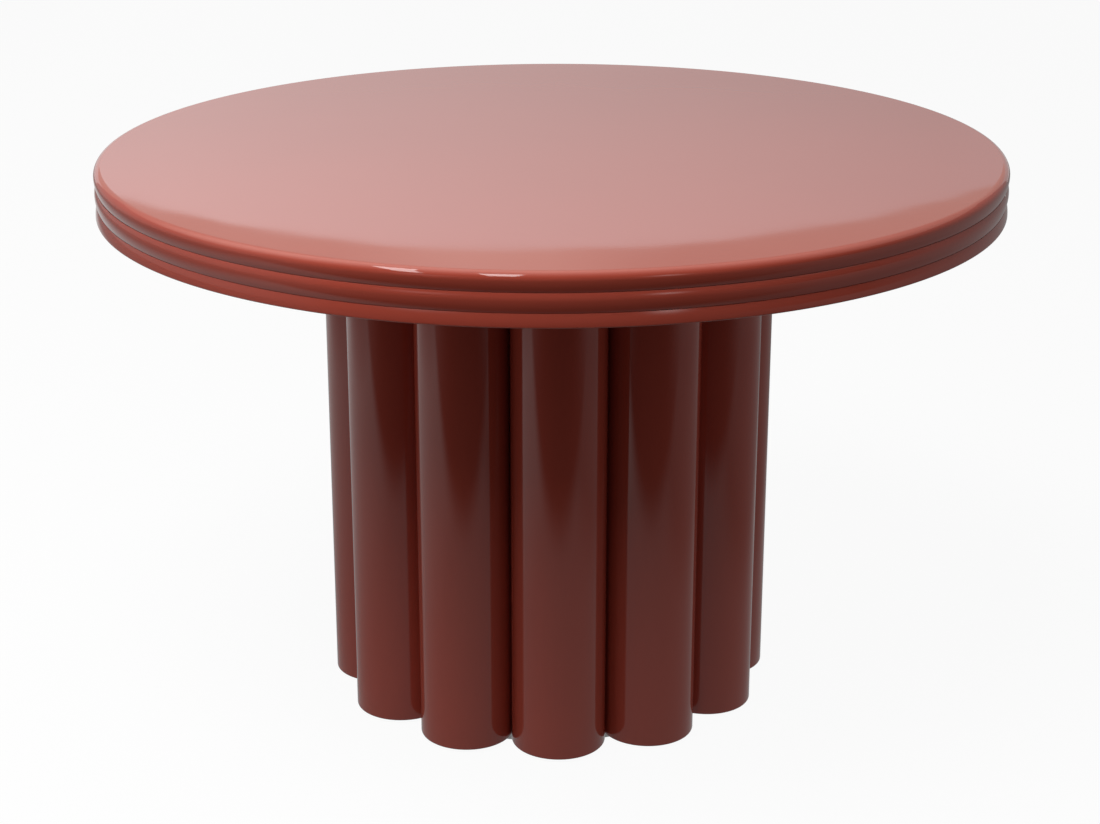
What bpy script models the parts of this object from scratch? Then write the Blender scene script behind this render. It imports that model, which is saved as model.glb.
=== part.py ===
# Round pedestal side table: a top of three stacked discs on a ring of twelve touching columns.
# Units are metres, +Z is up, and the origin is on the floor on the table's axis.
import math

import bmesh
import bpy
from mathutils import Matrix

# Driving dimensions of the top
table_height = 0.3784
top_diameter = 0.600
upper_disc_thickness = 0.0116
middle_disc_thickness = 0.0114
lower_disc_thickness = 0.0083
upper_edge_radius = 0.0050
reed_depth = 0.0012
middle_crest_drop = 0.0045
arris_radius = 0.0008
least_reed_height = 0.0010

# Driving dimensions of the pedestal
pedestal_diameter = 0.3045
column_count = 12
pedestal_turn = math.radians(2.9)
column_edge_radius = 0.0015
fixing_plate_thickness = 0.018
fixing_plate_setback = 0.005
tie_plate_thickness = 0.012
tie_plate_setback = 0.013
tie_plate_height = 0.030
pad_diameter = 0.040
pad_thickness = 0.0025

# Driving dimensions of the fasteners
bolt_count = 6
bolt_setback = 0.022
bolt_diameter = 0.006
bolt_engagement = 0.010
bolt_flange_diameter = 0.014
bolt_flange_thickness = 0.0015
bolt_head_diameter = 0.0105
bolt_head_height = 0.005
bolt_socket_width = 0.004
bolt_socket_depth = 0.003
insert_diameter = 0.010
insert_length = 0.013
access_hole_diameter = 0.028
screw_setback = 0.012
screw_diameter = 0.005
screw_head_diameter = 0.010
screw_length = 0.050
screw_point_length = 0.006

# Clearances: glue line or seat between pieces that touch, and slack of a bolt in its hole
seat_gap = 0.0003
bolt_slack = 0.0005

# Facets of round pieces
disc_facets = 64
plate_facets = 48
column_facets = 28
fastener_facets = 12
pad_facets = 20
edge_segments = 5
arris_segments = 2

# How far a cutter runs past the face it opens
cutter_overrun = 0.002

# Places that follow from the driving dimensions
top_radius = top_diameter / 2
upper_disc_bottom = table_height - upper_disc_thickness
middle_disc_top = upper_disc_bottom - seat_gap
middle_disc_bottom = middle_disc_top - middle_disc_thickness
lower_disc_top = middle_disc_bottom - seat_gap
underside = lower_disc_top - lower_disc_thickness

neighbour_sine = math.sin(math.pi / column_count)
column_circle = (pedestal_diameter / 2 + seat_gap / 2) / (1 + neighbour_sine)
column_radius = pedestal_diameter / 2 - column_circle
column_bottom = pad_thickness + seat_gap
column_top = underside - seat_gap

fixing_plate_radius = column_circle - fixing_plate_setback
fixing_plate_bottom = column_top - fixing_plate_thickness
rebate_floor = fixing_plate_bottom - seat_gap
tie_plate_radius = column_circle - tie_plate_setback
tie_plate_top = tie_plate_height + tie_plate_thickness

bolt_circle = column_circle - column_radius - bolt_setback
screw_circle = fixing_plate_radius - screw_setback
screw_head_top = column_top - seat_gap
screw_tip = screw_head_top - screw_length
screw_shoulder = screw_head_top - (screw_head_diameter - screw_diameter) / 2


for old in list(bpy.data.objects):
    bpy.data.objects.remove(old, do_unlink=True)

table = bpy.data.collections.new("side_table")
cutters = bpy.data.collections.new("cutters")
bpy.context.scene.collection.children.link(table)
bpy.context.scene.collection.children.link(cutters)


def new_material(name, colour, roughness, metallic=0.0):
    material = bpy.data.materials.new(name)
    material.use_nodes = True
    shader = material.node_tree.nodes["Principled BSDF"]
    shader.inputs["Base Color"].default_value = (*colour, 1.0)
    shader.inputs["Roughness"].default_value = roughness
    shader.inputs["Metallic"].default_value = metallic
    return material


lacquer = new_material("terracotta_lacquer", (0.20, 0.034, 0.022), 0.08)
plywood = new_material("birch_plywood", (0.55, 0.40, 0.25), 0.6)
steel = new_material("zinc_plated_steel", (0.60, 0.60, 0.58), 0.35, 1.0)
brass = new_material("brass", (0.72, 0.50, 0.20), 0.3, 1.0)
felt = new_material("grey_felt", (0.10, 0.10, 0.10), 0.95)


def new_parent(name, turn):
    parent = bpy.data.objects.new(name, None)
    parent.rotation_euler.z = turn
    table.objects.link(parent)
    return parent


def add_part(name, mesh, material, parent):
    mesh.materials.clear()
    mesh.materials.append(material)
    mesh.polygons.foreach_set("use_smooth", [True] * len(mesh.polygons))
    part = bpy.data.objects.new(name, mesh)
    part.parent = parent
    table.objects.link(part)
    return part


def add_cutter(name, mesh, parent):
    cutter = bpy.data.objects.new(name, mesh)
    cutter.parent = parent
    cutter.hide_render = True
    cutter.display_type = "WIRE"
    cutters.objects.link(cutter)
    return cutter


def cut(part, cutter):
    boolean = part.modifiers.new(cutter.name, "BOOLEAN")
    boolean.operation = "DIFFERENCE"
    boolean.solver = "EXACT"
    boolean.object = cutter


def ring_places(count, circle):
    for index in range(count):
        angle = 2 * math.pi * index / count - math.pi / 2
        yield Matrix.Rotation(angle, 4, "Z") @ Matrix.Translation((circle, 0, 0))


# A solid cylinder or cone, repeated at each of the places given, in one mesh
def frustums(name, places, radii, heights, facets):
    shape = bmesh.new()
    bottom, top = heights
    lift = Matrix.Translation((0, 0, (bottom + top) / 2))
    for place in places:
        bmesh.ops.create_cone(
            shape, cap_ends=True, segments=facets, radius1=radii[0], radius2=radii[1],
            depth=top - bottom, matrix=place @ lift,
        )
    mesh = bpy.data.meshes.new(name)
    shape.to_mesh(mesh)
    shape.free()
    return mesh


def cylinders(name, places, diameter, heights, facets):
    return frustums(name, places, (diameter / 2, diameter / 2), heights, facets)


on_axis = [Matrix.Identity(4)]


# A line of points to be turned about Z, listed from the top down on the outer side
def profile_mesh(name, points, closed=False):
    count = len(points)
    edges = [(index, (index + 1) % count) for index in range(count if closed else count - 1)]
    mesh = bpy.data.meshes.new(name)
    mesh.from_pydata([(radius, 0, height) for radius, height in points], edges, [])
    return mesh


def turn_profile(part, facets):
    screw = part.modifiers.new("turn", "SCREW")
    screw.axis = "Z"
    screw.angle = 2 * math.pi
    screw.steps = facets
    screw.render_steps = facets
    screw.use_merge_vertices = True
    screw.merge_threshold = 0.00001
    screw.use_smooth_shade = True


def arc(centre, radius, start, end, segments):
    points = []
    for step in range(segments + 1):
        angle = math.radians(start + (end - start) * step / segments)
        points.append((centre[0] + radius * math.cos(angle), centre[1] + radius * math.sin(angle)))
    return points


# Half of a reed: an arc between its upright crest and a seat line set back by the reed's depth
def reed_half(crest, seat):
    rise = seat - crest
    depth = min(reed_depth, abs(rise))
    radius = (rise ** 2 + depth ** 2) / (2 * depth)
    sweep = math.degrees(math.asin(rise / radius))
    return arc((top_radius - radius, crest), radius, 0, sweep, edge_segments)


def add_disc(name, profile, parent):
    disc = add_part(name, profile_mesh(name, profile), lacquer, parent)
    turn_profile(disc, disc_facets)
    return disc


# Three discs, glued one under the other. The upper one has a rounded top edge, and each is cut back to the
# lines where it meets its neighbours, so that shallow grooves part the edge into three reeds.
def build_top(parent):
    top_round = min(upper_edge_radius, upper_disc_thickness - least_reed_height)
    upper_crest = table_height - top_round
    add_disc("upper_disc", [
        (0, table_height),
        *arc((top_radius - top_round, upper_crest), top_round, 90, 0, edge_segments),
        *reed_half(upper_crest, upper_disc_bottom)[1:],
        (0, upper_disc_bottom),
    ], parent)
    middle_crest = middle_disc_top - min(middle_crest_drop, middle_disc_thickness - least_reed_height)
    middle = add_disc("middle_disc", [
        (0, middle_disc_top),
        *reversed(reed_half(middle_crest, middle_disc_top)),
        *reed_half(middle_crest, middle_disc_bottom)[1:],
        (0, middle_disc_bottom),
    ], parent)
    low_round = min(arris_radius, lower_disc_thickness - least_reed_height)
    lower_crest = underside + low_round
    lower = add_disc("lower_disc", [
        (0, lower_disc_top),
        *reversed(reed_half(lower_crest, lower_disc_top)),
        *arc((top_radius - low_round, lower_crest), low_round, 0, -90, arris_segments)[1:],
        (0, underside),
    ], parent)
    return middle, lower


# Round columns, each rebated for the fixing plate, grooved for the tie plate and drilled for its screw
def build_columns(parent):
    rebate = add_cutter("rebate_cutter", cylinders(
        "rebate_cutter", on_axis, 2 * (fixing_plate_radius + seat_gap),
        (rebate_floor, column_top + cutter_overrun), plate_facets), parent)
    groove = add_cutter("groove_cutter", cylinders(
        "groove_cutter", on_axis, 2 * (tie_plate_radius + seat_gap),
        (tie_plate_height - seat_gap, tie_plate_top + seat_gap), plate_facets), parent)
    pilots = add_cutter("pilot_cutter", cylinders(
        "pilot_cutter", ring_places(column_count, screw_circle), screw_diameter + 2 * seat_gap,
        (screw_tip - seat_gap, column_top + cutter_overrun), fastener_facets), parent)
    for index, place in enumerate(ring_places(column_count, column_circle), start=1):
        name = f"column_{index:02d}"
        mesh = cylinders(name, [place], 2 * column_radius, (column_bottom, column_top), column_facets)
        column = add_part(name, mesh, lacquer, parent)
        rounding = column.modifiers.new("rounded_ends", "BEVEL")
        rounding.width = column_edge_radius
        rounding.segments = arris_segments
        rounding.limit_method = "ANGLE"
        rounding.angle_limit = math.radians(60)
        for cutter in (rebate, groove, pilots):
            cut(column, cutter)


# The plate let into the column tops, which carries the top
def build_fixing_plate(parent):
    heights = (fixing_plate_bottom, column_top)
    mesh = cylinders("fixing_plate", on_axis, 2 * fixing_plate_radius, heights, plate_facets)
    plate = add_part("fixing_plate", mesh, plywood, parent)
    through = (fixing_plate_bottom - cutter_overrun, column_top + cutter_overrun)
    cut(plate, add_cutter("screw_hole_cutter", cylinders(
        "screw_hole_cutter", ring_places(column_count, screw_circle), screw_diameter + 2 * seat_gap,
        through, fastener_facets), parent))
    shoulder_radius = screw_diameter / 2 + seat_gap
    mouth_radius = shoulder_radius + column_top + cutter_overrun - screw_shoulder
    cut(plate, add_cutter("countersink_cutter", frustums(
        "countersink_cutter", ring_places(column_count, screw_circle), (shoulder_radius, mouth_radius),
        (screw_shoulder, column_top + cutter_overrun), fastener_facets), parent))
    cut(plate, add_cutter("bolt_hole_cutter", cylinders(
        "bolt_hole_cutter", ring_places(bolt_count, bolt_circle), bolt_diameter + 2 * bolt_slack,
        through, fastener_facets), parent))


# The plate held in the column grooves near the floor, with a tool hole under each bolt
def build_tie_plate(parent):
    heights = (tie_plate_height, tie_plate_top)
    mesh = cylinders("tie_plate", on_axis, 2 * tie_plate_radius, heights, plate_facets)
    plate = add_part("tie_plate", mesh, plywood, parent)
    cut(plate, add_cutter("access_hole_cutter", cylinders(
        "access_hole_cutter", ring_places(bolt_count, bolt_circle), access_hole_diameter,
        (tie_plate_height - cutter_overrun, tie_plate_top + cutter_overrun), pad_facets), parent))


# Countersunk screws, driven down through the fixing plate into the columns
def build_column_screws(parent):
    profile = [
        (0, screw_head_top),
        (screw_head_diameter / 2, screw_head_top),
        (screw_diameter / 2, screw_shoulder),
        (screw_diameter / 2, screw_tip + screw_point_length),
        (0, screw_tip),
    ]
    for index, place in enumerate(ring_places(column_count, screw_circle), start=1):
        name = f"column_screw_{index:02d}"
        screw = add_part(name, profile_mesh(name, profile), steel, parent)
        screw.matrix_local = place
        turn_profile(screw, fastener_facets)


# Flanged socket bolts from below, and the threaded sleeves in the top that take them
def build_top_bolts(parent, middle, lower):
    insert_top = underside + insert_length
    hole_top = underside + max(insert_length, bolt_engagement) + seat_gap
    sockets = add_cutter("insert_hole_cutter", cylinders(
        "insert_hole_cutter", ring_places(bolt_count, bolt_circle), insert_diameter + 2 * seat_gap,
        (underside - cutter_overrun, hole_top), fastener_facets), parent)
    cut(middle, sockets)
    cut(lower, sockets)
    bearing = fixing_plate_bottom - seat_gap
    flange_bottom = bearing - bolt_flange_thickness
    head_bottom = flange_bottom - bolt_head_height
    bolt_profile = [
        (0, underside + bolt_engagement),
        (bolt_diameter / 2, underside + bolt_engagement),
        (bolt_diameter / 2, bearing),
        (bolt_flange_diameter / 2, bearing),
        (bolt_flange_diameter / 2, flange_bottom),
        (bolt_head_diameter / 2, flange_bottom),
        (bolt_head_diameter / 2, head_bottom),
        (0, head_bottom),
    ]
    bore_radius = bolt_diameter / 2 + seat_gap
    insert_profile = [
        (bore_radius, insert_top),
        (insert_diameter / 2, insert_top),
        (insert_diameter / 2, underside),
        (bore_radius, underside),
    ]
    hexagon_diameter = bolt_socket_width / math.cos(math.pi / 6)
    hexagons = add_cutter("bolt_socket_cutter", cylinders(
        "bolt_socket_cutter", ring_places(bolt_count, bolt_circle), hexagon_diameter,
        (head_bottom - cutter_overrun, head_bottom + bolt_socket_depth), 6), parent)
    for index, place in enumerate(ring_places(bolt_count, bolt_circle), start=1):
        bolt_name = f"top_bolt_{index}"
        bolt = add_part(bolt_name, profile_mesh(bolt_name, bolt_profile), steel, parent)
        bolt.matrix_local = place
        turn_profile(bolt, fastener_facets)
        cut(bolt, hexagons)
        insert_name = f"threaded_insert_{index}"
        insert = add_part(insert_name, profile_mesh(insert_name, insert_profile, closed=True), brass, parent)
        insert.matrix_local = place
        turn_profile(insert, fastener_facets)


# A felt pad under each column
def build_pads(parent):
    for index, place in enumerate(ring_places(column_count, column_circle), start=1):
        name = f"felt_pad_{index:02d}"
        add_part(name, cylinders(name, [place], pad_diameter, (0, pad_thickness), pad_facets), felt, parent)


def build_table():
    top = new_parent("tabletop", 0.0)
    pedestal = new_parent("pedestal", pedestal_turn)
    middle, lower = build_top(top)
    build_columns(pedestal)
    build_fixing_plate(pedestal)
    build_tie_plate(pedestal)
    build_column_screws(pedestal)
    build_top_bolts(pedestal, middle, lower)
    build_pads(pedestal)
    bpy.context.view_layer.update()


build_table()
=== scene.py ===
# Round pedestal side table in gloss terracotta lacquer: the looks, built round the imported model.
# Metres, +Z up, the table stands on z = 0 and the viewer of the photograph is at -Y.
import bpy
import numpy as np
from mathutils import Matrix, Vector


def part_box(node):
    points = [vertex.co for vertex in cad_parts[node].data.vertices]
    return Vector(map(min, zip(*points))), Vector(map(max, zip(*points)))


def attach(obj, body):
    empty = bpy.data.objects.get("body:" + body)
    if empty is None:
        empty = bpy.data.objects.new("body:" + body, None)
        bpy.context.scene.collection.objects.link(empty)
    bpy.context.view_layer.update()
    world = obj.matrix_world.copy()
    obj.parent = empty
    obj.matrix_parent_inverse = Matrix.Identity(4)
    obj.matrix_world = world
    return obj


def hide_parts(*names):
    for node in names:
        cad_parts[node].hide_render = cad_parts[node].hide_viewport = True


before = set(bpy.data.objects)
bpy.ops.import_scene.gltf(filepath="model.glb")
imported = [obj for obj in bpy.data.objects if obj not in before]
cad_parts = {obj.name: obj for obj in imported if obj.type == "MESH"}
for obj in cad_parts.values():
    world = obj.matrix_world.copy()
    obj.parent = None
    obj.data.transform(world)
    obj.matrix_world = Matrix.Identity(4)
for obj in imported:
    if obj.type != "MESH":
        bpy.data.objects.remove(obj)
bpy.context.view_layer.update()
scene = bpy.context.scene
print("frame loaded:", len(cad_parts), "nodes")

millimetre = 0.001
fullTurn = 2 * np.pi


# sRGB hex to linear colour: each channel goes through the sRGB curve
def linearColour(hexCode):
    srgb = np.array([int(hexCode[i:i + 2], 16) for i in (1, 3, 5)]) / 255
    linear = np.where(srgb <= 0.04045, srgb / 12.92, ((srgb + 0.055) / 1.055) ** 2.4)
    return (*linear.tolist(), 1.0)


# One node with its settings; an input is a value, or a socket to link from
def addNode(tree, kind, settings=None, inputs=None):
    node = tree.nodes.new(kind)
    for key, value in (settings or {}).items():
        setattr(node, key, value)
    for key, value in (inputs or {}).items():
        if isinstance(value, bpy.types.NodeSocket):
            tree.links.new(value, node.inputs[key])
        else:
            node.inputs[key].default_value = value
    return node


# Texture scale for a feature of that real size, on coordinates in metres
def scaleFor(sizeMm):
    return 1 / (sizeMm * millimetre)


# An empty material: itself, its nodes, its shader, and the place on the piece in metres
def newMaterial(name):
    material = bpy.data.materials.new(name)
    material.use_nodes = True
    tree = material.node_tree
    place = tree.nodes.new("ShaderNodeTexCoord").outputs["Object"]
    return material, tree, tree.nodes["Principled BSDF"], place


# Corner numbers of a grid of rows by columns that closes on itself across the columns.
# A row runs counter-clockwise seen from above, and the rows run from the bottom outwards and up.
def gridQuads(rows, around, closedRows=False):
    row = np.arange(rows if closedRows else rows - 1)[:, None]
    here = np.arange(around)[None, :]
    beside = (here + 1) % around
    above = (row + 1) % rows
    corners = [row * around + here, row * around + beside, above * around + beside, above * around + here]
    return np.stack(corners, axis=-1).reshape(-1, 4)


# A turned shape: radius and height are arrays of rows by columns, the angle runs along the columns.
# With poles the first and last rows are closed by a fan of triangles to a point on the axis.
def turnedMesh(name, radius, height, centre=(0.0, 0.0), startAngle=0.0, poles=True):
    rows, around = radius.shape
    angle = startAngle + np.arange(around) / around * fullTurn
    x, y = centre[0] + radius * np.cos(angle), centre[1] + radius * np.sin(angle)
    points = np.stack([x, y, height], axis=-1).reshape(-1, 3)
    faces = gridQuads(rows, around, closedRows=not poles).tolist()
    if poles:
        here = np.arange(around)
        beside = (here + 1) % around
        last = (rows - 1) * around
        lowPole, highPole = len(points), len(points) + 1
        ends = [[*centre, height[0].mean()], [*centre, height[-1].mean()]]
        points = np.concatenate([points, ends])
        faces += np.stack([np.full(around, lowPole), beside, here], axis=-1).tolist()
        faces += np.stack([np.full(around, highPole), last + here, last + beside], axis=-1).tolist()
    mesh = bpy.data.meshes.new(name)
    mesh.from_pydata(points.tolist(), [], faces)
    mesh.update()
    return mesh


# Puts a finished mesh on the table's body in place of its CAD node
def placePiece(name, mesh, material, node, sharpAngle=40):
    mesh.shade_smooth()
    mesh.set_sharp_from_angle(angle=np.radians(sharpAngle))
    mesh.materials.append(material)
    piece = bpy.data.objects.new(name, mesh)
    scene.collection.objects.link(piece)
    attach(piece, "root")
    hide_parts(node)
    return piece


# Names of the CAD nodes that begin with that word, in order
def nodesNamed(start):
    return sorted(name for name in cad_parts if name.startswith(start))


# Middle of a node's box seen from above, and its lowest and highest point
def axisOf(node):
    low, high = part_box(node)
    return ((low.x + high.x) / 2, (low.y + high.y) / 2), low.z, high.z


# Arc from the start angle to the end angle: radius = centre + arc * cos, height = centre + arc * sin
def arcPoints(centreRadius, centreHeight, arcRadius, startDegrees, endDegrees, steps):
    turn = np.radians(np.linspace(startDegrees, endDegrees, steps + 1))
    return centreRadius + arcRadius * np.cos(turn), centreHeight + arcRadius * np.sin(turn)


# Gloss lacquer sprayed over board and turned timber, rubbed down and polished. The eye gets one even,
# warm red-brown, mirror-like reflections that waver a little, and a faint orange peel close to.
def makeLacquer():
    s = {
        "colour": "#B04B3B",
        "deepColour": "#A94636",
        "cloudMm": 140,        # slow drift of the colour from spray passes
        "peelMm": 2.2,         # orange peel
        "peelDepth": 0.002 * millimetre,
        "waveMm": 45,          # hand-rubbed waviness
        "waveDepth": 0.02 * millimetre,
        "hazeMm": 60,          # polish that is a little uneven
        "hazeSpan": (0.3, 0.7),
        "roughness": (0.02, 0.035),
        "refraction": 1.5,
    }
    material, tree, shader, place = newMaterial("terracottaGlossLacquer")
    cloud = addNode(tree, "ShaderNodeTexNoise", inputs={
        "Vector": place, "Scale": scaleFor(s["cloudMm"]), "Detail": 2.0})
    colour = addNode(tree, "ShaderNodeMix", {"data_type": "RGBA"}, {
        0: cloud.outputs["Fac"], 6: linearColour(s["deepColour"]), 7: linearColour(s["colour"])})
    tree.links.new(colour.outputs[2], shader.inputs["Base Color"])
    haze = addNode(tree, "ShaderNodeTexNoise", inputs={
        "Vector": place, "Scale": scaleFor(s["hazeMm"]), "Detail": 3.0})
    gloss = addNode(tree, "ShaderNodeMapRange", inputs={
        0: haze.outputs["Fac"], **dict(enumerate(s["hazeSpan"] + s["roughness"], start=1))})
    tree.links.new(gloss.outputs[0], shader.inputs["Roughness"])
    wave = addNode(tree, "ShaderNodeTexNoise", inputs={
        "Vector": place, "Scale": scaleFor(s["waveMm"]), "Detail": 0.0})
    waveBump = addNode(tree, "ShaderNodeBump", inputs={
        "Strength": 1.0, "Distance": s["waveDepth"], "Height": wave.outputs["Fac"]})
    peel = addNode(tree, "ShaderNodeTexNoise", inputs={
        "Vector": place, "Scale": scaleFor(s["peelMm"]), "Detail": 1.0})
    peelBump = addNode(tree, "ShaderNodeBump", inputs={
        "Strength": 1.0, "Distance": s["peelDepth"], "Height": peel.outputs["Fac"],
        "Normal": waveBump.outputs["Normal"]})
    tree.links.new(peelBump.outputs["Normal"], shader.inputs["Normal"])
    shader.inputs["IOR"].default_value = s["refraction"]
    return material


# Sanded birch plywood, rotary cut. The eye gets pale faces with long brown streaks and, on the edges,
# thin plies that turn light and dark.
def makePlywood():
    s = {
        "pale": "#D8BF97",
        "streak": "#B98F5E",
        "darkPly": "#A67C4E",
        "grainWidthMm": 5,
        "grainLengthMm": 90,
        "streakSpan": (0.42, 0.7),
        "plyMm": 1.4,
        "plyTurn": (0.4, 0.6),          # shares of a ply between which its colour turns
        "fibreMm": 0.6,
        "fibreLengthMm": 15,
        "fibreDepth": 0.08 * millimetre,
        "roughness": 0.62,
    }
    material, tree, shader, place = newMaterial("sandedBirchPlywood")
    along, across = scaleFor(s["grainLengthMm"]), scaleFor(s["grainWidthMm"])
    stretched = addNode(tree, "ShaderNodeMapping", inputs={"Vector": place, "Scale": (along, across, across)})
    grain = addNode(tree, "ShaderNodeTexNoise", inputs={
        "Vector": stretched.outputs[0], "Scale": 1.0, "Detail": 4.0, "Distortion": 0.6})
    streaks = addNode(tree, "ShaderNodeMapRange", inputs={
        0: grain.outputs["Fac"], **dict(enumerate(s["streakSpan"], start=1))})
    face = addNode(tree, "ShaderNodeMix", {"data_type": "RGBA"}, {
        0: streaks.outputs[0], 6: linearColour(s["pale"]), 7: linearColour(s["streak"])})
    height = addNode(tree, "ShaderNodeSeparateXYZ", inputs={0: place})
    layer = addNode(tree, "ShaderNodeMath", {"operation": "PINGPONG"}, {
        0: height.outputs["Z"], 1: s["plyMm"] * millimetre})
    turn = [share * s["plyMm"] * millimetre for share in s["plyTurn"]]
    dark = addNode(tree, "ShaderNodeMapRange", inputs={0: layer.outputs[0], **dict(enumerate(turn, start=1))})
    edge = addNode(tree, "ShaderNodeMix", {"data_type": "RGBA"}, {
        0: dark.outputs[0], 6: face.outputs[2], 7: linearColour(s["darkPly"])})
    normal = addNode(tree, "ShaderNodeSeparateXYZ", inputs={
        0: tree.nodes.new("ShaderNodeNewGeometry").outputs["Normal"]})
    facing = addNode(tree, "ShaderNodeMath", {"operation": "ABSOLUTE"}, {0: normal.outputs["Z"]})
    wood = addNode(tree, "ShaderNodeMix", {"data_type": "RGBA"}, {
        0: facing.outputs[0], 6: edge.outputs[2], 7: face.outputs[2]})
    tree.links.new(wood.outputs[2], shader.inputs["Base Color"])
    along, across = scaleFor(s["fibreLengthMm"]), scaleFor(s["fibreMm"])
    fibre = addNode(tree, "ShaderNodeMapping", inputs={"Vector": place, "Scale": (along, across, across)})
    fibres = addNode(tree, "ShaderNodeTexNoise", inputs={
        "Vector": fibre.outputs[0], "Scale": 1.0, "Detail": 2.0})
    bump = addNode(tree, "ShaderNodeBump", inputs={
        "Strength": 1.0, "Distance": s["fibreDepth"], "Height": fibres.outputs["Fac"]})
    tree.links.new(bump.outputs["Normal"], shader.inputs["Normal"])
    shader.inputs["Roughness"].default_value = s["roughness"]
    return material


# Plated or turned metal. The eye gets a bright, slightly clouded surface with fine tool marks.
metalSettings = {
    "zinc": {"colour": "#C9CBC8", "cloudColour": "#B4B3A8", "roughness": 0.28},
    "brass": {"colour": "#D9B86A", "cloudColour": "#C29A4C", "roughness": 0.24},
    "cloudMm": 1.5,
    "cloudSpan": (0.3, 0.7),
    "roughnessSpread": (0.8, 1.2),      # where the cloud is least and most
    "markMm": 0.25,                     # tool marks
    "markDepth": 0.02 * millimetre,
    "markStrength": 0.4,
}


def makeMetal(name, colour, cloudColour, roughness):
    s = metalSettings
    material, tree, shader, place = newMaterial(name)
    cloud = addNode(tree, "ShaderNodeTexNoise", inputs={
        "Vector": place, "Scale": scaleFor(s["cloudMm"]), "Detail": 3.0})
    tint = addNode(tree, "ShaderNodeMix", {"data_type": "RGBA"}, {
        0: cloud.outputs["Fac"], 6: linearColour(colour), 7: linearColour(cloudColour)})
    tree.links.new(tint.outputs[2], shader.inputs["Base Color"])
    span = (*s["cloudSpan"], *(share * roughness for share in s["roughnessSpread"]))
    haze = addNode(tree, "ShaderNodeMapRange", inputs={
        0: cloud.outputs["Fac"], **dict(enumerate(span, start=1))})
    tree.links.new(haze.outputs[0], shader.inputs["Roughness"])
    marks = addNode(tree, "ShaderNodeTexNoise", inputs={
        "Vector": place, "Scale": scaleFor(s["markMm"]), "Detail": 1.0})
    bump = addNode(tree, "ShaderNodeBump", inputs={
        "Strength": s["markStrength"], "Distance": s["markDepth"], "Height": marks.outputs["Fac"]})
    tree.links.new(bump.outputs["Normal"], shader.inputs["Normal"])
    shader.inputs["Metallic"].default_value = 1.0
    return material


# Pressed wool felt. The eye gets a mottled mid grey with short fibres lying every way.
def makeFelt():
    s = {
        "dark": "#4A4845",
        "light": "#77736E",
        "fibreMm": 0.5,
        "fibreDepth": 0.25 * millimetre,
        "roughness": 0.95,
        "sheen": 0.3,
    }
    material, tree, shader, place = newMaterial("pressedGreyFelt")
    fibres = addNode(tree, "ShaderNodeTexNoise", inputs={
        "Vector": place, "Scale": scaleFor(s["fibreMm"]), "Detail": 4.0, "Distortion": 2.0})
    colour = addNode(tree, "ShaderNodeMix", {"data_type": "RGBA"}, {
        0: fibres.outputs["Fac"], 6: linearColour(s["dark"]), 7: linearColour(s["light"])})
    tree.links.new(colour.outputs[2], shader.inputs["Base Color"])
    bump = addNode(tree, "ShaderNodeBump", inputs={
        "Strength": 1.0, "Distance": s["fibreDepth"], "Height": fibres.outputs["Fac"]})
    tree.links.new(bump.outputs["Normal"], shader.inputs["Normal"])
    shader.inputs["Roughness"].default_value = s["roughness"]
    shader.inputs["Sheen Weight"].default_value = s["sheen"]
    return material


lacquer = makeLacquer()
plywood = makePlywood()
zincSteel = makeMetal("brightZincSteel", **metalSettings["zinc"])
turnedBrass = makeMetal("turnedBrass", **metalSettings["brass"])
felt = makeFelt()
print("materials made")


# Top: three turned discs whose edges are reeds. A profile runs from the middle of the underside out along
# the flat, up the edge and back along the top. Half of a reed is an arc that leaves the upright crest and
# ends set back by the reed's depth: radius of the arc = (rise^2 + depth^2) / (2 * depth).
topSettings = {
    "around": 360,
    "topRound": 0.0050,             # rounded top edge of the upper disc
    "reedDepth": 0.0012,
    "middleCrestDrop": 0.0045,      # crest below the middle disc's top
    "arris": 0.0008,                # lower edge of the lower disc
    "arrisSteps": 6,
    "edgeSteps": 20,
    "flatRings": 8,
    "innerShare": 0.05,             # first ring of a flat, as a share of its radius
    "guardRing": 0.0005,            # ring beside an edge, so that smooth shading stays on the edge
}


# From the crest to the seat line, upwards or downwards
def reedHalf(outer, crest, seat):
    rise, depth = seat - crest, topSettings["reedDepth"]
    radius = (rise ** 2 + depth ** 2) / (2 * depth)
    sweep = np.degrees(np.arcsin(rise / radius))
    return np.array(arcPoints(outer - radius, crest, radius, 0, sweep, topSettings["edgeSteps"]))


# The whole profile of a disc: evenly spaced rings out along the underside, the edge, and rings back in
def discProfile(edge, bottom, top):
    s = topSettings
    flat = np.linspace(s["innerShare"], 1, s["flatRings"])
    lowFlat = flat * (edge[0, 0] - s["guardRing"])
    highFlat = flat[::-1] * (edge[0, -1] - s["guardRing"])
    reach = np.concatenate([lowFlat, edge[0], highFlat])
    height = np.concatenate([np.full_like(lowFlat, bottom), edge[1], np.full_like(highFlat, top)])
    return reach, height


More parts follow.
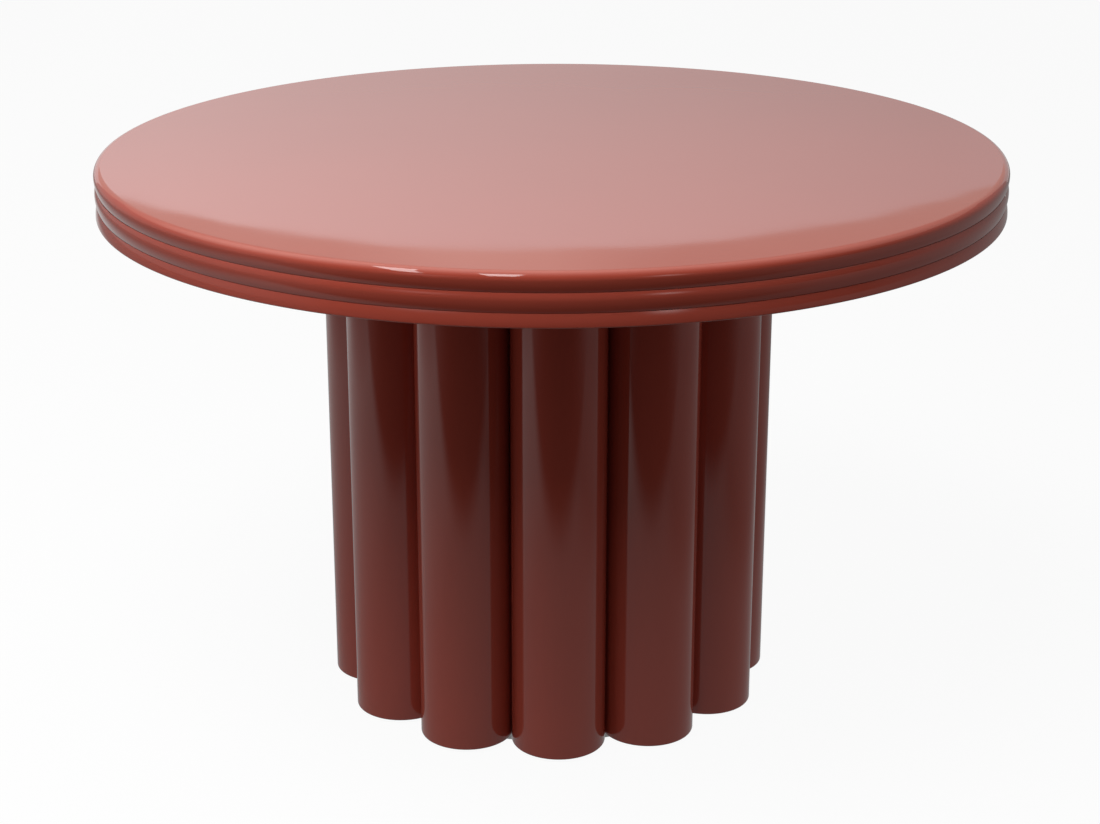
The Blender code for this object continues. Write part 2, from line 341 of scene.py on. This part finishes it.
# Each disc's edge is a lower and an upper half that meet on its crest
def makeTop():
    s = topSettings
    low, high = {}, {}
    for node in ("upper_disc", "middle_disc", "lower_disc"):
        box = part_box(node)
        low[node], high[node], outer = box[0].z, box[1].z, box[1].x
    crest = high["upper_disc"] - s["topRound"]
    topEdge = arcPoints(outer - s["topRound"], crest, s["topRound"], 0, 90, s["edgeSteps"])
    edges = {"upper_disc": [reedHalf(outer, crest, low["upper_disc"])[:, ::-1], topEdge]}
    crest = high["middle_disc"] - s["middleCrestDrop"]
    edges["middle_disc"] = [reedHalf(outer, crest, low["middle_disc"])[:, ::-1],
                            reedHalf(outer, crest, high["middle_disc"])]
    crest = low["lower_disc"] + s["arris"]
    lowEdge = arcPoints(outer - s["arris"], crest, s["arris"], -90, 0, s["arrisSteps"])
    edges["lower_disc"] = [lowEdge, reedHalf(outer, crest, high["lower_disc"])]
    for node, (lower, upper) in edges.items():
        edge = np.concatenate([np.array(lower), np.array(upper)[:, 1:]], axis=1)
        reach, height = discProfile(edge, low[node], high[node])
        radius = np.repeat(reach[:, None], s["around"], axis=1)
        mesh = turnedMesh(node, radius, np.repeat(height[:, None], s["around"], axis=1))
        placePiece("lacquered_" + node, mesh, lacquer, node)
    print("top made:", len(edges), "discs")


# Columns: a round post is a circle carried up a height profile with rounded ends. Where a plate is let
# in, the radius is the lesser of the post's own and the distance from the post's axis to the plate's
# rim along the same ray, so the rebate and the groove follow the plate.
columnSettings = {
    "around": 160,
    "endRadius": 0.0015,
    "endSteps": 6,
    "seatGap": 0.0003,              # to a neighbour, and round the plates
    "shoulderSlope": 0.0002,        # run-out of the cutter at a shoulder
    "wallRings": 10,
}


# Distance from a post's axis to the plate's rim; theta is measured from the outward direction
def rimDistance(theta, ringRadius, plateRadius):
    inward = -ringRadius * np.cos(theta)
    inside = inward ** 2 - (ringRadius ** 2 - plateRadius ** 2)
    hit = (inward > 0) & (inside > 0)
    return np.where(hit, inward - np.sqrt(np.maximum(inside, 0)), np.inf)


# Radius, lower and upper height of the cut that takes a plate, with room round it
def plateCut(node):
    low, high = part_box(node)
    gap = columnSettings["seatGap"]
    return (high.x - low.x) / 2 + gap, low.z - gap, high.z + gap


# Neighbours touch: radius of a post = radius of the ring * sin(half turn / number), less half the gap
def makeColumns():
    s = columnSettings
    posts = nodesNamed("column_0") + nodesNamed("column_1")
    centres = np.array([axisOf(node)[0] for node in posts])
    ringRadius = np.hypot(*centres.T).mean()
    postRadius = ringRadius * np.sin(np.pi / len(posts)) - s["seatGap"] / 2
    bottom, top = axisOf(posts[0])[1:]
    fixing, tie = plateCut("fixing_plate"), plateCut("tie_plate")
    end, slope = s["endRadius"], s["shoulderSlope"]
    lowArc = arcPoints(postRadius - end, bottom + end, end, -90, 0, s["endSteps"])
    highArc = arcPoints(postRadius - end, top - end, end, 0, 90, s["endSteps"])
    wall = np.linspace(tie[2] + slope, fixing[1] - slope, s["wallRings"])
    grooveLow, grooveHigh = [tie[1] - slope], [tie[1], tie[2]]
    heights = np.concatenate([lowArc[1], grooveLow, grooveHigh, wall, [fixing[1]], highArc[1]])
    wallCount = len(grooveLow) + len(grooveHigh) + len(wall) + 1
    reach = np.concatenate([lowArc[0], np.full(wallCount, postRadius), highArc[0]])
    inGroove = (heights >= tie[1]) & (heights <= tie[2])
    inRebate = heights >= fixing[1]
    theta = np.arange(s["around"]) / s["around"] * fullTurn
    limit = np.full((len(heights), len(theta)), np.inf)
    limit[inGroove] = rimDistance(theta, ringRadius, tie[0])
    limit[inRebate] = rimDistance(theta, ringRadius, fixing[0])
    radius = np.minimum(reach[:, None], limit)
    height = np.repeat(heights[:, None], len(theta), axis=1)
    for node, centre in zip(posts, centres):
        outward = np.arctan2(centre[1], centre[0])
        mesh = turnedMesh(node, radius, height, tuple(centre), outward)
        placePiece("lacquered_" + node, mesh, lacquer, node)
    print("pedestal made:", len(posts), "columns")


makeTop()
makeColumns()


# Threads and drives of the hardware. A thread is a triangle wave of height and angle on the shank:
# radius = core + depth * wave(height / pitch - angle / full turn), faded out at both ends.
def threadedRadius(height, angle, core, crest, pitch, low, high):
    phase = (height / pitch - angle / fullTurn) % 1
    wave = 1 - np.abs(2 * phase - 1)
    fade = np.clip((height - low) / pitch, 0, 1) * np.clip((high - height) / pitch, 0, 1)
    return core + (crest - core) * wave * fade


# Distance from the axis to the flats of a hexagon with that width across its flats
def hexagonRadius(angle, width):
    return width / 2 / np.cos((angle + np.pi / 6) % (np.pi / 3) - np.pi / 6)


# Rows of a hardware profile: each row is a height and a radius, alone or one for each angle
def stackRows(rows, around):
    height = np.array([np.broadcast_to(row[0], around) for row in rows], dtype=float)
    radius = np.array([np.broadcast_to(row[1], around) for row in rows], dtype=float)
    return radius, height


# Eased edges of the bolts, the inserts and the screws
easeSettings = {"edge": 0.0003, "fineEdge": 0.0002, "corner": 0.0001, "sharpAngle": 35}

boltSettings = {
    "around": 48,
    "crest": 0.0030, "core": 0.00245, "pitch": 0.001, "stepsPerTurn": 8,
    "threadStart": 0.0004, "tipLength": 0.0006, "tipTaper": 0.0004,
    "flangeRadius": 0.0070, "flangeThickness": 0.0015,
    "headRadius": 0.00525, "headHeight": 0.005, "headRounding": 0.0006, "headSteps": 5,
    "socketWidth": 0.004, "socketDepth": 0.003, "socketFloor": (0.3, 0.98),
}


# From the floor of the socket out over the head, the flange and up the thread to the tip
def makeBolts():
    s = boltSettings
    edge, fine, corner = easeSettings["edge"], easeSettings["fineEdge"], easeSettings["corner"]
    angle = np.arange(s["around"]) / s["around"] * fullTurn
    socket = hexagonRadius(angle, s["socketWidth"])
    for node in nodesNamed("top_bolt"):
        centre, low, high = axisOf(node)
        shoulder = low + s["headHeight"]
        bearing = shoulder + s["flangeThickness"]
        rows = [(low + s["socketDepth"], socket * share) for share in s["socketFloor"]]
        rows += [(low + depth, socket) for depth in (s["socketDepth"] - corner, fine)]
        rows += [(low, socket + edge)]
        for turn in np.radians(np.linspace(-90, 0, s["headSteps"] + 1)):
            rows.append((low + s["headRounding"] * (1 + np.sin(turn)),
                         s["headRadius"] - s["headRounding"] * (1 - np.cos(turn))))
        rows += [(shoulder - edge, s["headRadius"]), (shoulder, s["headRadius"] + edge)]
        rows += [(shoulder, s["flangeRadius"] - edge), (shoulder + edge, s["flangeRadius"])]
        rows += [(bearing - fine, s["flangeRadius"]), (bearing, s["flangeRadius"] - fine)]
        rows += [(bearing, s["crest"])]
        threadHigh = high - s["tipLength"]
        turns = int((threadHigh - bearing) / s["pitch"] * s["stepsPerTurn"])
        for height in np.linspace(bearing + s["threadStart"], threadHigh, turns):
            rows.append((height, threadedRadius(height, angle, s["core"], s["crest"], s["pitch"],
                                                bearing, threadHigh)))
        rows += [(high, s["core"] - s["tipTaper"])]
        radius, height = stackRows(rows, s["around"])
        mesh = turnedMesh(node, radius, height, centre)
        placePiece("socket_" + node, mesh, zincSteel, node, easeSettings["sharpAngle"])
    print("bolts made")


insertSettings = {
    "around": 48, "bore": 0.0033, "core": 0.0043, "crest": 0.0050, "pitch": 0.0022, "stepsPerTurn": 10,
    "chamfer": 0.0005,
}


# Up the thread outside, over the rim and down the bore; the last row joins the first
def makeInserts():
    s, edge = insertSettings, easeSettings["edge"]
    angle = np.arange(s["around"]) / s["around"] * fullTurn
    for node in nodesNamed("threaded_insert"):
        centre, low, high = axisOf(node)
        steps = int((high - low) / s["pitch"] * s["stepsPerTurn"])
        rows = [(low, s["core"] - s["chamfer"])]
        for height in np.linspace(low + s["chamfer"], high - s["chamfer"], steps):
            rows.append((height, threadedRadius(height, angle, s["core"], s["crest"], s["pitch"], low, high)))
        rows += [(high, s["core"] - s["chamfer"]), (high, s["bore"] + edge), (high - edge, s["bore"])]
        rows += [(low + edge, s["bore"]), (low, s["bore"] + edge)]
        radius, height = stackRows(rows, s["around"])
        mesh = turnedMesh(node, radius, height, centre, poles=False)
        placePiece("brass_" + node, mesh, turnedBrass, node, easeSettings["sharpAngle"])
    print("threaded inserts made")


screwSettings = {
    "around": 40,
    "headRadius": 0.0050, "shankRadius": 0.0021, "core": 0.0016, "crest": 0.0025, "pitch": 0.0024,
    "stepsPerTurn": 8, "threadShare": 0.62, "pointLength": 0.006, "runOut": 0.0006,
    "socketWidth": 0.0036, "socketDepth": 0.0022, "socketFloor": (0.97, 0.3),
}


# From the point up the thread and the plain shank, out over the countersunk head and down its socket
def makeScrews():
    s = screwSettings
    edge, fine, corner = easeSettings["edge"], easeSettings["fineEdge"], easeSettings["corner"]
    angle = np.arange(s["around"]) / s["around"] * fullTurn
    socket = hexagonRadius(angle, s["socketWidth"])
    for node in nodesNamed("column_screw"):
        centre, low, high = axisOf(node)
        threadHigh = low + s["threadShare"] * (high - low)
        shoulder = high - (s["headRadius"] - s["shankRadius"])
        turns = int((threadHigh - low) / s["pitch"] * s["stepsPerTurn"])
        rows = []
        for height in np.linspace(low + fine, threadHigh, turns):
            point = min(1.0, (height - low) / s["pointLength"])
            rows.append((height, point * threadedRadius(height, angle, s["core"], s["crest"], s["pitch"],
                                                        low, threadHigh)))
        rows += [(threadHigh + s["runOut"], s["shankRadius"]), (shoulder, s["shankRadius"])]
        rows += [(high - edge, s["headRadius"] - edge), (high - fine, s["headRadius"])]
        rows += [(high, s["headRadius"] - corner), (high, socket + fine), (high - fine, socket)]
        rows += [(high - s["socketDepth"] + corner, socket)]
        rows += [(high - s["socketDepth"], socket * share) for share in s["socketFloor"]]
        radius, height = stackRows(rows, s["around"])
        mesh = turnedMesh(node, radius, height, centre)
        placePiece("countersunk_" + node, mesh, zincSteel, node, easeSettings["sharpAngle"])
    print("column screws made")


makeBolts()
makeInserts()
makeScrews()


# Felt pads: a flat disc whose rim bulges and wavers. A mean of sines of the angle with seeded phases moves
# the rim, a product of two waves over angle and radius dips the upper face, and the lower face is flat.
padSettings = {
    "around": 96, "rings": 8, "innerShare": 0.1, "rimSteps": 8, "sharpAngle": 60, "seed": 5,
    "rimWaver": 0.00025, "rimWaves": (5, 40), "rimSums": 8,
    "rimFade": 4,                           # power of the radius by which the waver grows outwards
    "faceWaver": 0.00012,
    "faceWaves": [(9, 900), (5, -600)],     # in one turn, and radians in a metre of radius
}


def makePads():
    s = padSettings
    random = np.random.default_rng(s["seed"])
    angle = np.arange(s["around"]) / s["around"] * fullTurn
    for node in nodesNamed("felt_pad"):
        centre, low, high = axisOf(node)
        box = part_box(node)
        outer = (box[1].x - box[0].x) / 2 - s["rimWaver"]
        half = (high - low) / 2
        flat = np.linspace(s["innerShare"], 1, s["rings"]) * (outer - half)
        turn = np.radians(np.linspace(-90, 90, s["rimSteps"] + 1))
        reach = np.concatenate([flat[:-1], outer - half + half * np.cos(turn), flat[-2::-1]])
        level = np.ones(len(flat) - 1)
        rise = np.concatenate([-level, np.sin(turn), level])
        waves = random.integers(*s["rimWaves"], s["rimSums"])
        phases = random.uniform(0, fullTurn, s["rimSums"])
        waver = np.sin(waves[:, None] * angle + phases[:, None]).mean(axis=0)
        facePhase = random.uniform(0, fullTurn, 3)
        ripple = 1.0
        for (turns, run), phase in zip(s["faceWaves"], facePhase):
            ripple = ripple * np.sin(turns * angle[None, :] + run * reach[:, None] + phase)
        radius = reach[:, None] + s["rimWaver"] * waver * (reach / outer)[:, None] ** s["rimFade"]
        upper = (rise > 0.9)[:, None]       # the rows of the upper face
        height = low + half + half * rise[:, None] - s["faceWaver"] * (1 + ripple) / 2 * upper
        mesh = turnedMesh(node, radius, height, centre)
        pad = placePiece("wool_" + node, mesh, felt, node, s["sharpAngle"])
    print("felt pads made")


makePads()

# The two plates keep their CAD shape and take the plywood
for node in ("fixing_plate", "tie_plate"):
    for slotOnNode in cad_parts[node].material_slots:
        slotOnNode.material = plywood
print("plates finished")


# Studio: a white floor, soft light from above on the left and low from both sides, and glowing cards of
# painted light for the reflections, because a gloss surface shows what stands round it.
studioSettings = {
    "floorHalf": 30.0,
    "floorWhite": "#FFFFFF",
    "floorRoughness": 0.9,
    "floorGlow": 0.94,              # share of the floor that is plain white; the rest takes the shadow
    "unlitRadius": 0.12,            # no light reaches the floor inside the ring of columns
    "ambient": 0.19,
    "softLamps": [
        {"place": (-0.45, -0.60, 2.00), "size": (1.00, 1.00), "turn": 0, "lean": 0, "radiance": 6.6},
    ],
    "stripLamps": [                 # their reflections are the glints along the edge
        {"place": (-1.05, -1.10, 2.15), "size": (0.26, 1.90), "turn": -20, "lean": 0, "radiance": 8.0},
        {"place": (-0.36, -1.50, 2.15), "size": (0.28, 1.30), "turn": -8, "lean": 0, "radiance": 9.0},
    ],
    "sideLamps": [                  # low fill for the edge and the columns; the top is above it
        {"place": (-1.90, -0.10, 0.20), "size": (1.00, 0.33), "turn": -90, "lean": 90, "radiance": 2.6},
        {"place": (1.90, 0.10, 0.20), "size": (1.00, 0.33), "turn": 90, "lean": 90, "radiance": 2.7},
    ],
}


# A sheet from a grid of points of rows by columns
def sheetMesh(name, points):
    rows, columns = points.shape[:2]
    row, column = np.arange(rows - 1)[:, None], np.arange(columns - 1)[None, :]
    first = row * columns + column
    faces = np.stack([first, first + 1, first + columns + 1, first + columns], axis=-1).reshape(-1, 4)
    mesh = bpy.data.meshes.new(name)
    mesh.from_pydata(points.reshape(-1, 3).tolist(), [], faces.tolist())
    mesh.update()
    return mesh


# A sheet that belongs to the studio, not to the table
def stageSheet(name, points, material):
    sheet = bpy.data.objects.new(name, sheetMesh(name, points))
    sheet.data.materials.append(material)
    scene.collection.objects.link(sheet)
    return sheet


# Light that a camera, a reflection or a glass ray sees as white, and soft light sees as something else
def whiteForViewing(tree):
    path = tree.nodes.new("ShaderNodeLightPath")
    seen = addNode(tree, "ShaderNodeMath", {"operation": "MAXIMUM"}, {
        0: path.outputs["Is Camera Ray"], 1: path.outputs["Is Glossy Ray"]})
    return addNode(tree, "ShaderNodeMath", {"operation": "MAXIMUM"}, {
        0: seen.outputs[0], 1: path.outputs["Is Transmission Ray"]}).outputs[0]


# Level points over the crossings of two rows of places
def flatPoints(xs, ys, height):
    x, y = np.meshgrid(xs, ys)
    return np.stack([x, y, np.full_like(x, height)], axis=-1)


# White floor: seen, most of it is plain white and the rest is lit; soft light meets only the lit floor
def makeFloor():
    s = studioSettings
    material, tree, shader, place = newMaterial("whiteStudioFloor")
    seen = whiteForViewing(tree)
    shader.inputs["Base Color"].default_value = linearColour(s["floorWhite"])
    shader.inputs["Roughness"].default_value = s["floorRoughness"]
    shader.inputs["Specular IOR Level"].default_value = 0.0
    white = addNode(tree, "ShaderNodeEmission", inputs={
        "Color": linearColour(s["floorWhite"]), "Strength": 1.0})
    away = addNode(tree, "ShaderNodeVectorMath", {"operation": "LENGTH"}, {0: place})
    outside = addNode(tree, "ShaderNodeMath", {"operation": "GREATER_THAN"}, {
        0: away.outputs["Value"], 1: s["unlitRadius"]})
    glow = addNode(tree, "ShaderNodeMath", {"operation": "MULTIPLY"}, {
        0: outside.outputs[0], 1: s["floorGlow"]})
    share = addNode(tree, "ShaderNodeMath", {"operation": "MULTIPLY"}, {0: seen, 1: glow.outputs[0]})
    both = addNode(tree, "ShaderNodeMixShader", inputs={
        0: share.outputs[0], 1: shader.outputs[0], 2: white.outputs[0]})
    tree.links.new(both.outputs[0], tree.nodes["Material Output"].inputs["Surface"])
    side = np.linspace(-s["floorHalf"], s["floorHalf"], 3)
    stageSheet("studio_floor", flatPoints(side, side, 0.0), material)


# The room's own light: white where it is seen, and even soft light otherwise
def makeWorld():
    world = bpy.data.worlds.new("studioRoom")
    world.use_nodes = True
    scene.world = world
    tree = world.node_tree
    level = addNode(tree, "ShaderNodeMapRange", inputs={
        0: whiteForViewing(tree), 3: studioSettings["ambient"], 4: 1.0})
    tree.links.new(level.outputs[0], tree.nodes["Background"].inputs["Strength"])
    tree.nodes["Background"].inputs["Color"].default_value = (1.0, 1.0, 1.0, 1.0)


# An area lamp that faces down, or leans to face sideways: power = pi * area * radiance
def addLamp(name, settings, inReflections):
    width, depth = settings["size"]
    light = bpy.data.lights.new(name, "AREA")
    light.shape = "RECTANGLE"
    light.size, light.size_y = width, depth
    light.energy = np.pi * width * depth * settings["radiance"]
    lamp = bpy.data.objects.new(name, light)
    lamp.location = settings["place"]
    lamp.rotation_euler = (np.radians(settings["lean"]), 0.0, np.radians(settings["turn"]))
    lamp.visible_camera = False
    lamp.visible_glossy = inReflections
    scene.collection.objects.link(lamp)


# Cards: glowing sheets of painted light, seen in reflections: a pale wall behind, a ceiling with a bowed
# far edge that darkens towards the viewer, the darker room in front and at the sides, and the floor. Each
# curve is a list of places and a list of levels there, and a grid is the number of points across and along.
cardSettings = {
    "wall": {
        "distance": 8.5, "halfWidth": 6.5, "height": 3.0, "grid": (53, 25),
        "across": ([-1.8, 1.8], [1.22, 0.80]),
        "up": ([0.0, 2.0, 2.75, 3.0], [0.7, 0.80, 1.07, 1.07]),
    },
    "ceiling": {
        "height": 2.2, "halfWidth": 4.5, "near": -5.0, "far": 6.33, "bow": 0.29, "bowCentre": -0.05,
        "grid": (61, 81),
        "along": ([-5.0, -3.0, -2.3, -1.2, 0.0, 1.5, 3.0], [0.02, 0.04, 0.12, 0.45, 0.90, 0.95, 0.74]),
        "across": ([-0.75, -0.35, 0.0, 0.37], [1.07, 1.32, 1.22, 0.90]),
        # The tint warms the painted light; the panel is a painted bright patch overhead
        "tint": "#FFEEE5",
        "panel": {"place": (-1.0, 0.4), "spread": (2.2, 1.2), "level": 1.8},    # brightest overhead
    },
    "surround": {
        "radius": 4.2, "startDegrees": 125.0, "endDegrees": 415.0, "height": 2.25, "grid": (193, 19),
        "around": ([125, 190, 207, 222, 345, 370, 415], [0.45, 0.50, 0.30, 0.05, 0.05, 0.26, 0.30]),
        # The spots are painted bright patches whose reflections are glints on the reeds
        "spots": [(240.0, 1.7, 8.0, 0.9), (297.0, 1.5, 4.0, 2.0)],      # bearing, height, spread, level
        "spotHeightSpread": 0.45,
    },
    "floor": {
        "half": 4.4, "height": 0.0004, "grid": 181,
        "crowding": 1.6,                # draws the points towards the table
        # Painted light: nearEdge ends the pool of light in front (the pale patch), farSector and farStart
        # place a lit sector behind, and dark is the painted shade elsewhere
        "nearEdge": (-0.625, -0.47),    # end of the pale patch in front
        "nearAcross": ([-1.3, -0.8, -0.45, -0.25, 0.1, 0.3, 0.45, 0.7],
                       [0.20, 0.66, 0.52, 0.38, 0.34, 0.30, 0.18, 0.22]),
        "farSector": (-0.92, -0.35),    # sine of the bearing
        "farStart": (0.5, 1.1),         # distance from the table
        "farAcross": ([-1.2, 1.2], [0.24, 0.26]),
        "dark": 0.03, "softShare": 0.4,
    },
}


# Smooth step from 0 to 1 between two values
def smoothRise(value, low, high):
    share = np.clip((value - low) / (high - low), 0, 1)
    return share * share * (3 - 2 * share)


# Gives off the light level kept with the points of the card, and a share of it as soft light
def makeCardLight(softShare, tint="#FFFFFF"):
    material, tree, shader = newMaterial("litCard")[:3]
    tree.nodes.remove(shader)
    level = addNode(tree, "ShaderNodeAttribute", {"attribute_name": "level"})
    share = addNode(tree, "ShaderNodeMapRange", inputs={
        0: tree.nodes.new("ShaderNodeLightPath").outputs["Is Diffuse Ray"], 3: 1.0, 4: softShare})
    strength = addNode(tree, "ShaderNodeMath", {"operation": "MULTIPLY"}, {
        0: level.outputs["Fac"], 1: share.outputs[0]})
    glow = addNode(tree, "ShaderNodeEmission", inputs={
        "Color": linearColour(tint), "Strength": strength.outputs[0]})
    tree.links.new(glow.outputs[0], tree.nodes["Material Output"].inputs["Surface"])
    return material


# A card that reflections see, and soft light only if asked
def addCard(name, points, level, material, inSoftLight=False):
    card = stageSheet(name, points, material)
    values = card.data.attributes.new("level", "FLOAT", "POINT").data
    values.foreach_set("value", np.broadcast_to(level, points.shape[:2]).astype(np.float32).ravel())
    card.visible_camera = card.visible_shadow = card.visible_transmission = False
    card.visible_diffuse = inSoftLight


# Painted light on a sheet behind, seen in reflections: level = curve across * curve up, brighter to the
# left and near the top
def makeWall(light):
    s = cardSettings["wall"]
    columns, rows = s["grid"]
    across = np.linspace(-s["halfWidth"], s["halfWidth"], columns)
    x, z = np.meshgrid(across, np.linspace(0, s["height"], rows))
    points = np.stack([x, np.full_like(x, s["distance"]), z], axis=-1)
    addCard("wall_card", points, np.interp(x, *s["across"]) * np.interp(z, *s["up"]), light)


# Painted light on a sheet overhead, warmed by the tint: far edge = far + bow * (x - centre)^2;
# level = curve along * curve across + a bell round the painted bright panel
def makeCeiling():
    s = cardSettings["ceiling"]
    columns, rows = s["grid"]
    x = np.linspace(-s["halfWidth"], s["halfWidth"], columns)
    far = s["far"] + s["bow"] * (x - s["bowCentre"]) ** 2
    y = s["near"] + np.linspace(0, 1, rows)[:, None] * (far - s["near"])[None, :]
    x = np.broadcast_to(x, y.shape)
    panel = s["panel"]
    away = sum((at - place) ** 2 / spread ** 2
               for at, place, spread in zip((x, y), panel["place"], panel["spread"]))
    level = np.interp(y, *s["along"]) * np.interp(x, *s["across"]) + panel["level"] * np.exp(-away)
    points = np.stack([x, y, np.full_like(y, s["height"])], axis=-1)
    addCard("ceiling_card", points, level, makeCardLight(1.0, s["tint"]))


# Part of a drum round the table, with painted light: the dim room and painted bright spots that show as
# glints on the reeds; level = curve round the bearing + a bell over bearing and height for a spot
def makeSurround(light):
    s = cardSettings["surround"]
    columns, rows = s["grid"]
    degrees, z = np.meshgrid(np.linspace(s["startDegrees"], s["endDegrees"], columns),
                             np.linspace(0, s["height"], rows))
    level = np.interp(degrees, *s["around"])
    for middle, height, spread, strength in s["spots"]:
        away = ((degrees - middle) / spread) ** 2 + ((z - height) / s["spotHeightSpread"]) ** 2
        level += strength * np.exp(-away)
    bearing = np.radians(degrees)
    points = np.stack([s["radius"] * np.cos(bearing), s["radius"] * np.sin(bearing), z], axis=-1)
    addCard("surround_card", points, level, light)


# Painted pool of light on a sheet over the floor, also given as soft light: level = dark + the greater of
# a patch in front that ends at an edge and a sector behind that starts outside
def makeFloorCard(light):
    s = cardSettings["floor"]
    share = np.linspace(-1, 1, s["grid"])
    side = s["half"] * np.sign(share) * np.abs(share) ** s["crowding"]
    points = flatPoints(side, side, s["height"])
    x, y = points[..., 0], points[..., 1]
    distance = np.hypot(x, y)
    near = smoothRise(y, *s["nearEdge"]) * np.interp(x, *s["nearAcross"])
    sector = smoothRise(y / np.maximum(distance, 1e-6), *s["farSector"])    # the middle point has no bearing
    far = sector * np.interp(x, *s["farAcross"]) * smoothRise(distance, *s["farStart"])
    addCard("floor_card", points, s["dark"] + np.maximum(near, far), light, inSoftLight=True)


def makeCards():
    light = makeCardLight(cardSettings["floor"]["softShare"])
    makeWall(light)
    makeCeiling()
    makeSurround(light)
    makeFloorCard(light)


makeFloor()
makeWorld()
for group in ("softLamps", "stripLamps", "sideLamps"):
    for number, lampSettings in enumerate(studioSettings[group], start=1):
        addLamp(f"{group}{number}", lampSettings, inReflections=group == "stripLamps")
makeCards()
print("studio made")


# Camera at the photograph's angle. The table stands a little to the right of the lens axis, so the picture
# is moved sideways on the sensor.
cameraSettings = {
    "distance": 1.47774,
    "height": 0.71683,
    "pitchDegrees": 19.5483,
    "headingDegrees": 1.4185,       # to the left of the table's axis
    "rollDegrees": -0.4470,
    "focalPixels": 2262.46,
    "sideways": 0.048614,           # share of the picture's width
    "imageWidth": 1100,
    "sensorMm": 36.0,
}


# Stands straight in front of the table: turned by the heading, tilted down, then rolled about the view
def makeCamera():
    s = cameraSettings
    lens = bpy.data.cameras.new("photoCamera")
    lens.sensor_width = s["sensorMm"]
    lens.lens = s["focalPixels"] / s["imageWidth"] * s["sensorMm"]
    lens.shift_x = s["sideways"]
    camera = bpy.data.objects.new("photoCamera", lens)
    camera.location = (0.0, -s["distance"], s["height"])
    heading = Matrix.Rotation(np.radians(s["headingDegrees"]), 3, "Z")
    tilt = Matrix.Rotation(np.radians(90 - s["pitchDegrees"]), 3, "X")
    roll = Matrix.Rotation(np.radians(s["rollDegrees"]), 3, "Z")
    camera.rotation_euler = (heading @ tilt @ roll).to_euler()
    scene.collection.objects.link(camera)
    scene.camera = camera


makeCamera()
scene.view_settings.view_transform = "Standard"
print("camera set")
